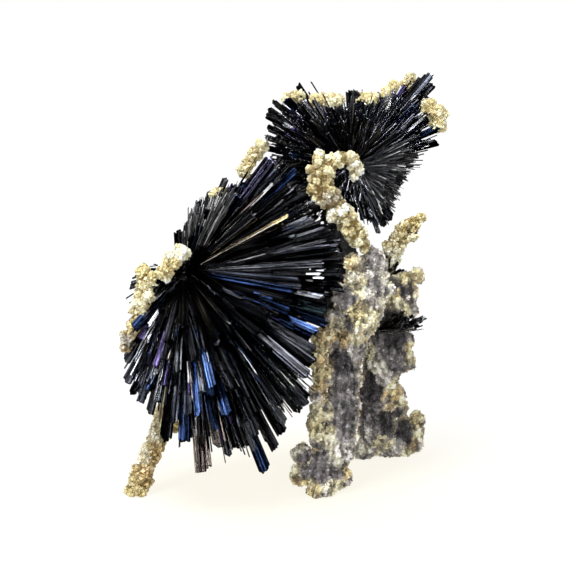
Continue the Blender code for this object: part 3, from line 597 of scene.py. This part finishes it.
def crusted(name, node, lumps, crystals, paint, seed, material):
    """A CAD piece under a crust of lumps with small calcite rhombs grown over them, as one mesh."""
    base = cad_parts[node].data
    fused = fused_lumps(name, base, *lumps, paint, seed)
    co = np.zeros(len(fused.vertices) * 3, np.float32)
    fused.vertices.foreach_get("co", co)
    co = co.reshape(-1, 3).astype(float)
    normals = vertex_normals(fused)
    quads = np.zeros(len(fused.loops), np.int32)
    fused.loops.foreach_get("vertex_index", quads)
    quads = quads.reshape(-1, 4)
    spots, facing = surface_points(fused, crystals[0] * MM, seed + 100, tries=4)
    rng = np.random.default_rng(seed + 200)
    tone = paint(spots, *above(base, spots), seed).mean(axis=1)
    kept = rng.random(len(spots)) < np.clip(tone * 2.4 + 0.25, 0.5, 1)
    spots, facing = spots[kept], facing[kept]
    sizes = rng.uniform(*crystals[1], len(spots)) * MM
    shapes = turned(RHOMB_CORNERS[None] * rng.uniform(0.75, 1.25, (len(spots), 1, 3)), rng, len(spots))
    corners = shapes * sizes[:, None, None] + (spots + facing * sizes[:, None] * 0.1)[:, None]
    verts = np.concatenate([co, corners.reshape(-1, 3)])
    verts[:, 2] = np.maximum(verts[:, 2], 0.0)
    starts = len(co) + 8 * np.arange(len(spots))[:, None, None]
    faces = np.concatenate([quads, (RHOMB_FACES[None] + starts).reshape(-1, 4)])
    ground = paint(co, *above(base, co), seed)
    grains = paint(spots, *above(base, spots), seed)
    grains = grains * rng.uniform(0.65, 1.4, (len(spots), 1))
    # painted light and shade on each rhomb: corners that point out of the crust are lighter, those that point
    # in are darker
    outward = np.einsum("nki,ni->nk", corners - spots[:, None], facing) / sizes[:, None]
    grains = grains[:, None] * (0.85 + 0.45 * np.clip(outward, -0.6, 0.8))[..., None]
    data = bpy.data.meshes.new(name)
    data.from_pydata(verts.tolist(), [], faces.tolist())
    data.polygons.foreach_set("use_smooth", np.arange(len(faces)) < len(quads))
    data.materials.append(material)
    obj = bpy.data.objects.new(name, data)
    bpy.context.scene.collection.objects.link(obj)
    tint_points(obj, np.concatenate([ground, grains.reshape(-1, 3)]))
    bpy.data.meshes.remove(fused)
    return obj, co, normals, ground


def vertex_normals(data):
    """The smooth normals at a mesh's corners."""
    normals = np.zeros(len(data.vertices) * 3, np.float32)
    data.vertices.foreach_get("normal", normals)
    return normals.reshape(-1, 3).astype(float)


def tint_points(obj, colours):
    """Stores a colour at each corner for the materials to read."""
    rgba = np.ones((len(colours), 4), np.float32)
    rgba[:, :3] = np.clip(colours, 0.003, 0.95)
    obj.data.color_attributes.new("tint", "FLOAT_COLOR", "POINT").data.foreach_set("color", rgba.ravel())


def calcite_material(name, cloudy=0.35, rough=0.42):
    """Cloudy grains: light sinks a little way in, and a fine sugary surface breaks up the shine."""
    material = bpy.data.materials.new(name)
    material.use_nodes = True
    tree = material.node_tree
    shader = tree.nodes["Principled BSDF"]
    shader.inputs["Roughness"].default_value = rough
    shader.inputs["Subsurface Weight"].default_value = cloudy
    shader.inputs["Subsurface Radius"].default_value = (1.0, 0.8, 0.45)
    shader.inputs["Subsurface Scale"].default_value = 0.0012
    shader.inputs["IOR"].default_value = 1.55
    where = node_of(tree, "ShaderNodeTexCoord")
    noise = node_of(tree, "ShaderNodeTexNoise", Scale=2600.0, Detail=3.0, Roughness=0.6)
    sugar = node_of(tree, "ShaderNodeTexVoronoi", Scale=2200.0)
    shade = node_of(tree, "ShaderNodeMapRange")
    shade.inputs["From Min"].default_value, shade.inputs["From Max"].default_value = 0.3, 0.7
    shade.inputs["To Min"].default_value, shade.inputs["To Max"].default_value = 0.82, 1.12
    tint = node_of(tree, "ShaderNodeAttribute", attribute_name="tint")
    scaled = node_of(tree, "ShaderNodeVectorMath", operation="SCALE")
    both = node_of(tree, "ShaderNodeMath", operation="ADD")
    bump = node_of(tree, "ShaderNodeBump", Strength=0.45)
    bump.inputs["Distance"].default_value = 0.00012
    link = tree.links.new
    link(where.outputs["Object"], noise.inputs["Vector"])
    link(where.outputs["Object"], sugar.inputs["Vector"])
    link(noise.outputs["Fac"], shade.inputs["Value"])
    link(tint.outputs["Color"], scaled.inputs[0])
    link(shade.outputs["Result"], scaled.inputs["Scale"])
    link(scaled.outputs["Vector"], shader.inputs["Base Color"])
    link(noise.outputs["Fac"], both.inputs[0])
    link(sugar.outputs["Distance"], both.inputs[1])
    link(both.outputs["Value"], bump.inputs["Height"])
    link(bump.outputs["Normal"], shader.inputs["Normal"])
    return material


def crust_colours(points, heights, base_normals, spots, default, gap, rim, seed):
    """Painted colours, with painted light on the lumps' tops and painted shade in the gaps, pale towards the
    rims.
    """
    colours = painted(points, base_normals, spots, default, seed)
    if rim:
        fibres = mottle(points * (1, 1, 0.28), 0.0013, seed + 9)[:, None]
        colours = colours * (0.3 + 1.35 * fibres)
        blotch = mottle(points, 0.005, seed + 7)[:, None]
        pale = np.array(CREAM) * blotch + np.array(rim) * (1 - blotch)
        facing = base_normals @ np.array(TOWARD)
        edge = np.exp(-(((facing - 0.05) / 0.24) ** 2))
        edge += 0.8 * (facing < -0.25) * (mottle(points, 0.007, seed + 10) > 0.6)
        share = np.clip(edge * (0.2 + 1.1 * mottle(points, 0.0025, seed + 8)), 0, 1)[:, None]
        colours = colours * (1 - share) + pale * share
    # painted shade and painted light by height over the CAD piece: low parts take the gap colour, tops are
    # made up to 1.6 times brighter
    top = np.clip((heights + 0.35) / 0.8, 0, 1)[:, None]
    return colours * (np.array(gap) * (1 - top) + top) * (1.0 + 0.6 * top)


calcite = calcite_material("calcite_grains")
# across, rise and radius of each spot in the picture plane, and its colour
CREST_SPOTS = (
    (12, 73, 4, CREAM), (7.5, 70, 4, CREAM), (7, 66, 4, YELLOW), (9.5, 62, 3, GREY), (11.5, 60, 3, PALE),
    (13.5, 58, 3, YELLOW), (16, 54.5, 3, CREAM), (15, 68, 2.4, PALE),
)
FINGER_SPOTS = (
    (22.5, 50, 2.5, PALE), (25, 55, 2.5, CREAM), (27.6, 58.5, 2, YELLOW), (26.6, 56.6, 0.7, DARK),
)
STALK_SPOTS = (
    (-28.6, 14, 2, PALE), (-30.8, 9, 1.6, PALE), (-27.0, 9.5, 1.6, OCHRE), (-29.4, 4.6, 1.6, OCHRE),
    (-32.2, 3.6, 1.8, YELLOW), (-24, 16, 2.4, YELLOW),
)
FINGERS_SPOTS = (
    (-28.4, 48, 2.5, YELLOW), (-28.4, 44, 2.5, CREAM), (-30, 40, 2.5, CREAM), (-30.6, 36.5, 2, YELLOW),
    (-32.4, 33, 2, GREY), (-33, 31, 1.4, OCHRE),
)
HEART_SPOTS = ((-22, 51.5, 1.4, PALE), (-23.4, 49, 1.6, YELLOW))
CALCITE = (
    # piece, node, spots of colour, lumps' spacing, their radii, voxel
    ("crest_calcite", "calcite_crest", CREST_SPOTS, 1.6, (0.7, 1.2), 0.2),
    ("right_finger_calcite", "calcite_right_finger", FINGER_SPOTS, 0.9, (0.4, 0.75), 0.17),
    ("left_stalk_calcite", "calcite_left_stalk", STALK_SPOTS, 0.9, (0.4, 0.75), 0.26),
    ("left_fingers_calcite", "calcite_left_fingers", FINGERS_SPOTS, 1.0, (0.5, 0.9), 0.17),
    ("heart_calcite", "calcite_heart_cap", HEART_SPOTS, 0.8, (0.5, 0.8), 0.16),
    ("string_calcite", "calcite_string", (), 0.9, (0.5, 0.8), 0.16),
    ("bead_calcite", "calcite_bead", (), 0.8, (0.4, 0.7), 0.16),
    ("tuft_far_left_calcite", "calcite_tuft_far_left", (), 0.8, (0.5, 0.8), 0.16),
    ("tuft_left_calcite", "calcite_tuft_left", (), 0.8, (0.5, 0.8), 0.16),
    ("tuft_top_calcite", "calcite_tuft_top", (), 0.8, (0.5, 0.8), 0.16),
    ("tuft_right_calcite", "calcite_tuft_right", (), 0.8, (0.5, 0.8), 0.16),
    ("tuft_peak_calcite", "calcite_tuft_peak", (), 0.8, (0.4, 0.7), 0.16),
    ("tuft_far_right_calcite", "calcite_tuft_far_right", (), 0.8, (0.5, 0.9), 0.16),
)


def painter(spots, default, gap, rim=None):
    """The rule that colours one piece's crust."""
    return lambda points, heights, base_normals, seed: crust_colours(
        points, heights, base_normals, spots, default, gap, rim, seed
    )


# the ochre in the gaps between calcite grains, darkened further as painted shade
CALCITE_GAP_OCHRE_AND_SHADE = (0.32, 0.25, 0.12)
CALCITE_INSET, CALCITE_LEAST = 0.4, 0.8
# space between the small crystals, and their sizes
CALCITE_CRYSTALS = (0.42, (0.3, 0.6))
for seed, (name, node, spots, spacing, sizes, voxel) in enumerate(CALCITE):
    paint = painter(spots, (CREAM, YELLOW), CALCITE_GAP_OCHRE_AND_SHADE)
    lumps = (spacing, sizes, voxel, CALCITE_INSET, CALCITE_LEAST)
    obj, *_ = crusted(name, node, lumps, CALCITE_CRYSTALS, paint, seed, calcite)
    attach(obj, "root")
    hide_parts(node)


# The trunk and the two columns: mats of fine needles felted together, grey to violet-brown, partly sealed
# under a crust of clouded calcite grains. The crust is palest along the columns' edges and on the feet.

FRONT_SPOTS = (
    (18.6, 49, 2.6, GREY), (19.0, 44, 2.6, GREY), (21.4, 46, 1.2, PALE), (21.2, 41.6, 1.2, PALE),
    (18.2, 51, 1.1, FELT), (18.6, 46, 1.3, FELT), (14.4, 52.4, 1.5, CREAM), (15.4, 48.6, 1.4, PALE),
    (13.4, 49.6, 1.2, OCHRE), (12.6, 42.6, 1.9, FELT), (10.4, 45.0, 1.2, PALE), (12.4, 46.4, 1.2, PALE),
    (15.4, 45.2, 1.1, CREAM), (16.2, 42.0, 1.3, CREAM), (14.6, 40.0, 1.2, YELLOW), (10.0, 40.4, 1.3, GREY),
    (13.6, 37.0, 1.3, DARK), (17.4, 37.4, 1.8, CREAM), (15.4, 38.6, 1.0, YELLOW), (10.6, 36.0, 1.4, CREAM),
    (11.8, 34.2, 1.2, OCHRE), (14.6, 33.6, 1.2, CREAM), (7.6, 35.0, 1.8, OCHRE), (6.6, 32.0, 2.0, YELLOW),
    (7.2, 29.0, 1.8, OCHRE), (7.6, 26.0, 1.6, YELLOW), (7.4, 23.4, 1.4, OCHRE), (5.8, 21.2, 1.2, GREY),
    (7.4, 18.8, 1.6, CREAM), (6.4, 15.8, 1.5, YELLOW), (8.0, 13.2, 1.4, CREAM), (10.2, 11.6, 1.2, PALE),
    (12.0, 28.6, 2.0, DARK), (14.6, 30.6, 1.2, GREY), (12.4, 24.6, 2.4, FELT), (12.0, 20, 2.4, FELT),
    (12.4, 15.6, 2.4, FELT), (15.8, 26, 1.0, PALE), (16.0, 20.6, 1.0, GREY), (16.4, 14, 1.0, CREAM),
    (15, 10.6, 1.4, GREY), (13.6, 17.6, 0.9, DARK), (5.4, 9.4, 2.0, FELT), (2.4, 9.6, 1.3, PALE),
    (1.6, 6.0, 1.3, CREAM), (6.6, 5.6, 2.2, FELT), (10.4, 8.4, 1.2, PALE), (10.0, 5.4, 1.6, FELT),
    (5.4, 1.6, 1.6, YELLOW), (2.6, 2.6, 1.4, OCHRE), (10.6, 2.6, 1.5, CREAM), (12.8, 5.4, 1.2, OCHRE),
)
BACK_SPOTS = (
    (23.4, 48.6, 1.3, CREAM), (26.8, 47.2, 1.4, YELLOW), (25.4, 44.4, 1.5, DARK), (28.0, 43.6, 1.0, CREAM),
    (22.6, 43.4, 1.2, YELLOW), (24.6, 40.8, 1.3, CREAM), (22.6, 37.2, 2.2, DARK), (23.4, 33.6, 2.2, DARK),
    (24.6, 29.6, 2.0, FELT), (20.6, 32.6, 1.6, FELT), (26.6, 31.6, 1.0, YELLOW), (26.8, 28.6, 1.0, CREAM),
    (18.4, 30.4, 1.0, CREAM), (19.6, 27.6, 1.1, PALE), (21.2, 25.0, 1.1, GREY), (22.8, 23.2, 1.0, CREAM),
    (16.6, 29.0, 1.4, DARK), (17.4, 25.4, 1.6, DARK), (19.0, 21.6, 1.8, DARK), (23.6, 20.4, 1.3, OCHRE),
    (25.6, 19.0, 1.0, CREAM), (19.2, 16.6, 2.2, FELT), (22.6, 15.4, 2.0, DARK), (26.4, 13.6, 1.8, DARK),
    (28.8, 16.4, 1.2, YELLOW), (29.6, 12.8, 1.1, CREAM), (28.0, 9.8, 1.2, OCHRE), (24.6, 9.6, 1.2, GREY),
    (21.4, 10.4, 1.2, CREAM), (18.0, 11.6, 1.4, GREY), (17.2, 9.0, 1.0, PALE), (26.4, 9.0, 0.9, CREAM),
)
# near black for the trunk: the dark needles' own colour, deepened with painted shade where the sprays hang
# over it
BLACK_NEEDLES_AND_SHADE = (0.02, 0.019, 0.022)
SAND = (0.80, 0.64, 0.38)
TRUNK_SPOTS = (
    (12, 53, 4, BLACK_NEEDLES_AND_SHADE), (6, 47, 5, BLACK_NEEDLES_AND_SHADE), (-4, 46, 8, BLACK_NEEDLES_AND_SHADE), (14, 42, 4, DARK),
    (12, 61, 4, BLACK_NEEDLES_AND_SHADE),
)
matrix_grains = calcite_material("matrix_crust", cloudy=0.12, rough=0.6)


def felt(name, points, normals, colours, count, length, seed, material):
    """Fine needles lying every way, mostly along the column, on the darker parts of a crust."""
    rng = np.random.default_rng(seed)
    darkness = np.clip(1.1 - colours.mean(axis=1) * 1.9, 0.03, 1)
    pick = rng.choice(len(points), count, p=darkness / darkness.sum())
    aim = normals[pick] * rng.uniform(0.1, 0.8, (count, 1)) + rng.normal(size=(count, 3)) * (0.4, 0.4, 1.2)
    aim /= np.linalg.norm(aim, axis=1)[:, None]
    side = np.cross(aim, rng.normal(size=(count, 3)))
    side /= np.linalg.norm(side, axis=1)[:, None]
    flat = np.cross(aim, side)
    thick = rng.uniform(0.035, 0.07, (count, 1)) * MM
    long = rng.uniform(*length, (count, 1)) * MM
    foot = points[pick] - normals[pick] * 0.1 * MM
    corners = [foot + (side * math.cos(t) + flat * math.sin(t)) * thick for t in (0, 2.1, 4.2)]
    verts = np.stack(corners + [foot + aim * long], axis=1)
    verts[..., 2] = np.maximum(verts[..., 2], 0.0)
    faces = np.array([(0, 1, 3), (1, 2, 3), (2, 0, 3), (0, 2, 1)])
    faces = (faces[None] + 4 * np.arange(count)[:, None, None]).reshape(-1, 3)
    data = bpy.data.meshes.new(name)
    data.from_pydata(verts.reshape(-1, 3).tolist(), [], faces.tolist())
    shade = rng.choice([0.15, 0.7, 1.8, 4.2], (count, 1), p=[0.34, 0.26, 0.24, 0.16])
    tints = np.clip(colours[pick] * 0.6 + 0.07, 0.01, 0.5) * shade
    obj = bpy.data.objects.new(name, data)
    bpy.context.scene.collection.objects.link(obj)
    tint_points(obj, np.repeat(np.clip(tints, 0.01, 0.75), 4, axis=0))
    data.materials.append(material)
    return obj


felt_needles = calcite_material("felt_needles", cloudy=0.0, rough=0.45)
MATRIX = (
    # piece, node, spots of colour, between them, at the edges, needles, voxel, space between crystals
    ("front_column", "matrix_front_column", FRONT_SPOTS, (GREY, FELT), SAND, 12000, 0.28, 0.48),
    ("back_column", "matrix_back_column", BACK_SPOTS, (GREY, FELT), SAND, 12000, 0.28, 0.48),
    ("trunk", "matrix_trunk", TRUNK_SPOTS, (DARK, BLACK_NEEDLES_AND_SHADE), None, 8000, 0.4, 0.9),
)
# painted shade: the grey that darkens the low parts between the crust's lumps
MATRIX_GAP_SHADE = (0.36, 0.34, 0.34)
MATRIX_SPACING, MATRIX_RADII, MATRIX_INSET, MATRIX_LEAST = 1.15, (0.45, 1.0), 0.2, 0.8
MATRIX_CRYSTALS = (0.24, 0.52)
NEEDLE_LENGTHS = (0.3, 1.1)
for seed, (name, node, spots, default, rim, needles, voxel, apart) in enumerate(MATRIX):
    paint = painter(spots, default, MATRIX_GAP_SHADE, rim)
    lumps = (MATRIX_SPACING, MATRIX_RADII, voxel, MATRIX_INSET, MATRIX_LEAST)
    crust, points, normals, colours = crusted(
        name + "_crust", node, lumps, (apart, MATRIX_CRYSTALS), paint, seed + 40, matrix_grains
    )
    mat = felt(name + "_felt", points, normals, colours, needles, NEEDLE_LENGTHS, seed, felt_needles)
    for piece in (crust, mat):
        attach(piece, "root")
        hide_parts(node)


# Small black stibnite clusters that stick out of the back column where its crust has gaps. The same mineral
# as the sprays, in short thin blades, some with bright faces.

CLUSTERS = (
    # across, rise, depth, bearing from, bearing to, length, count
    (21.5, 35.6, 13.4, -5, 60, 5.4, 70),
    (24.6, 36.0, 13.0, 5, 50, 4.6, 50),
    (22.0, 48.0, 12.6, 20, 110, 2.8, 14),
)
cluster_store, cluster_rng = Prisms(), random.Random(12)
for across, rise, depth, low, high, length, count in CLUSTERS:
    for _ in range(count):
        way = ray(cluster_rng.uniform(low, high), cluster_rng.uniform(-10, 50))
        spot = seen(across + cluster_rng.uniform(-1.6, 1.6), rise + cluster_rng.uniform(-0.8, 0.8), depth)
        tint = cluster_rng.choice((BLACK, BLACK, STEEL, SILVER, WHITE))
        cut = length * cluster_rng.uniform(0.5, 1.0)
        cluster_store.bundle(spot, way, cut, cluster_rng.uniform(0.35, 0.9), tint, cluster_rng)
clusters = cluster_store.mesh("back_column_blades", stibnite)
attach(clusters, "root")


# The studio: a white floor that curves up all round, a large soft light overhead, two in front for the
# calcite and the felt, and narrow ones that only the blades reflect, as streaks.

def area_light(name, place, aim, size, power, colour):
    """A rectangular light at a place, turned to its aim."""
    light = bpy.data.lights.new(name, "AREA")
    light.shape = "RECTANGLE"
    light.size, light.size_y = size
    light.energy, light.color = power, colour
    obj = bpy.data.objects.new(name, light)
    bpy.context.scene.collection.objects.link(obj)
    obj.location = place
    obj.rotation_euler = (Vector(aim) - Vector(place)).to_track_quat("-Z", "Y").to_euler()
    return obj


sweep_data = bpy.data.meshes.new("sweep")
NEAR_RADIUS, FLOOR_RADIUS, COVE, WALL_TOP, AROUND, COVE_STEPS = 0.3, 1.4, 0.6, 3.0, 96, 12
profile = [(NEAR_RADIUS, 0.0), (FLOOR_RADIUS, 0.0)]
for turn in np.linspace(0.1, math.pi / 2, COVE_STEPS):
    profile.append((FLOOR_RADIUS + COVE * math.sin(turn), COVE - COVE * math.cos(turn)))
profile.append((FLOOR_RADIUS + COVE, WALL_TOP))
sweep_verts = [(0, 0, 0)] + [
    (radius * math.cos(math.tau * k / AROUND), radius * math.sin(math.tau * k / AROUND), z)
    for radius, z in profile for k in range(AROUND)
]
sweep_faces = [(0, 1 + k, 1 + (k + 1) % AROUND) for k in range(AROUND)]
for row in range(len(profile) - 1):
    for k in range(AROUND):
        a, b = 1 + row * AROUND + k, 1 + row * AROUND + (k + 1) % AROUND
        sweep_faces.append((a, a + AROUND, b + AROUND, b))
sweep_data.from_pydata(sweep_verts, [], sweep_faces)
for polygon in sweep_data.polygons:
    polygon.use_smooth = True
sweep = bpy.data.objects.new("sweep", sweep_data)
bpy.context.scene.collection.objects.link(sweep)
sweep.visible_glossy = False
sweep.visible_diffuse = False
paper = bpy.data.materials.new("sweep_paper")
paper.use_nodes = True
paper_tree = paper.node_tree
paper_shader = paper_tree.nodes["Principled BSDF"]
paper_shader.inputs["Roughness"].default_value = 0.9
paper_shader.inputs["Specular IOR Level"].default_value = 0.0
paper_shader.inputs["Emission Strength"].default_value = 0.9
paper_shader.inputs["Base Color"].default_value = (0.12, 0.12, 0.12, 1)
# painted warm glow: the floor's own glow turns yellowish near the specimen, for the light the yellow calcite
# throws onto it
where = node_of(paper_tree, "ShaderNodeTexCoord")
spread_out = node_of(paper_tree, "ShaderNodeVectorMath", operation="LENGTH")
glow_falloff = node_of(paper_tree, "ShaderNodeMapRange")
glow_falloff.inputs["From Min"].default_value, glow_falloff.inputs["From Max"].default_value = 0.02, 0.075
painted_glow = node_of(paper_tree, "ShaderNodeMix", data_type="RGBA")
painted_glow.inputs["A"].default_value, painted_glow.inputs["B"].default_value = (1.0, 0.965, 0.86, 1), (1, 1, 1, 1)
paper_tree.links.new(where.outputs["Object"], spread_out.inputs[0])
paper_tree.links.new(spread_out.outputs["Value"], glow_falloff.inputs["Value"])
paper_tree.links.new(glow_falloff.outputs["Result"], painted_glow.inputs["Factor"])
paper_tree.links.new(painted_glow.outputs["Result"], paper_shader.inputs["Emission Color"])
sweep_data.materials.append(paper)

STRIPS = (
    # name, size, power, colour, in the order of LIT_FROM, then of PANEL_FROM
    ("strip_top", (0.05, 0.4), 1.1, (1, 1, 1)),
    ("strip_left", (0.04, 0.5), 1.0, (1, 1, 1)),
    ("strip_right", (0.04, 0.5), 0.9, (1, 0.98, 0.95)),
    ("strip_front", (0.4, 0.03), 0.5, (1, 1, 1)),
    ("strip_high_front", (0.3, 0.04), 0.9, (1, 1, 1)),
    ("strip_back", (0.4, 0.05), 1.0, (1, 1, 1)),
    ("panel_blue", (0.35, 0.35), 1.1, (0.45, 0.6, 1.0)),
)
CENTRE, FEET = (0, 0, 0.045), (0.01, 0, 0.01)
PANEL_FROM = (-0.4, -0.35, 0.45)
lights = [
    area_light("overhead", (-0.12, -0.16, 0.6), CENTRE, (0.24, 0.24), 4.0, (1, 1, 1)),
    area_light("left_front", (-0.45, -0.45, 0.3), CENTRE, (0.25, 0.4), 1.8, (1, 0.98, 0.95)),
    area_light("low_front", (0.16, -0.5, 0.04), FEET, (0.25, 0.15), 1.2, (1, 0.97, 0.92)),
]
lights[-1].visible_glossy = False
for place, (name, size, power, colour) in zip(LIT_FROM + (PANEL_FROM,), STRIPS):
    strip = area_light(name, place, CENTRE, size, power, colour)
    strip.visible_diffuse = False
    lights.append(strip)

world = bpy.data.worlds.new("studio")
bpy.context.scene.world = world
world.use_nodes = True
world.node_tree.nodes["Background"].inputs["Color"].default_value = (1, 1, 1, 1)
world.node_tree.nodes["Background"].inputs["Strength"].default_value = 0.66
world.cycles_visibility.glossy = False
bpy.context.scene.view_settings.view_transform = "Standard"

# millimetres to a pixel at the specimen, and how many pixels the picture is wide
PIXEL, PICTURE_WIDTH = 0.21, 575
DISTANCE, SENSOR = 0.62, 36.0
# across, rise and depth of the point that shows in the middle of the picture
PICTURE_CENTRE = (0.525, 44.625, 8.0)
camera_data = bpy.data.cameras.new("camera")
camera_data.sensor_width = SENSOR
camera_data.lens = SENSOR * DISTANCE / (PICTURE_WIDTH * PIXEL * MM)
camera_data.clip_start = 0.01
camera = bpy.data.objects.new("camera", camera_data)
bpy.context.scene.collection.objects.link(camera)
camera.location = seen(*PICTURE_CENTRE) + TOWARD * DISTANCE
camera.rotation_euler = (math.radians(90) - TILT, 0, 0)
bpy.context.scene.camera = camera
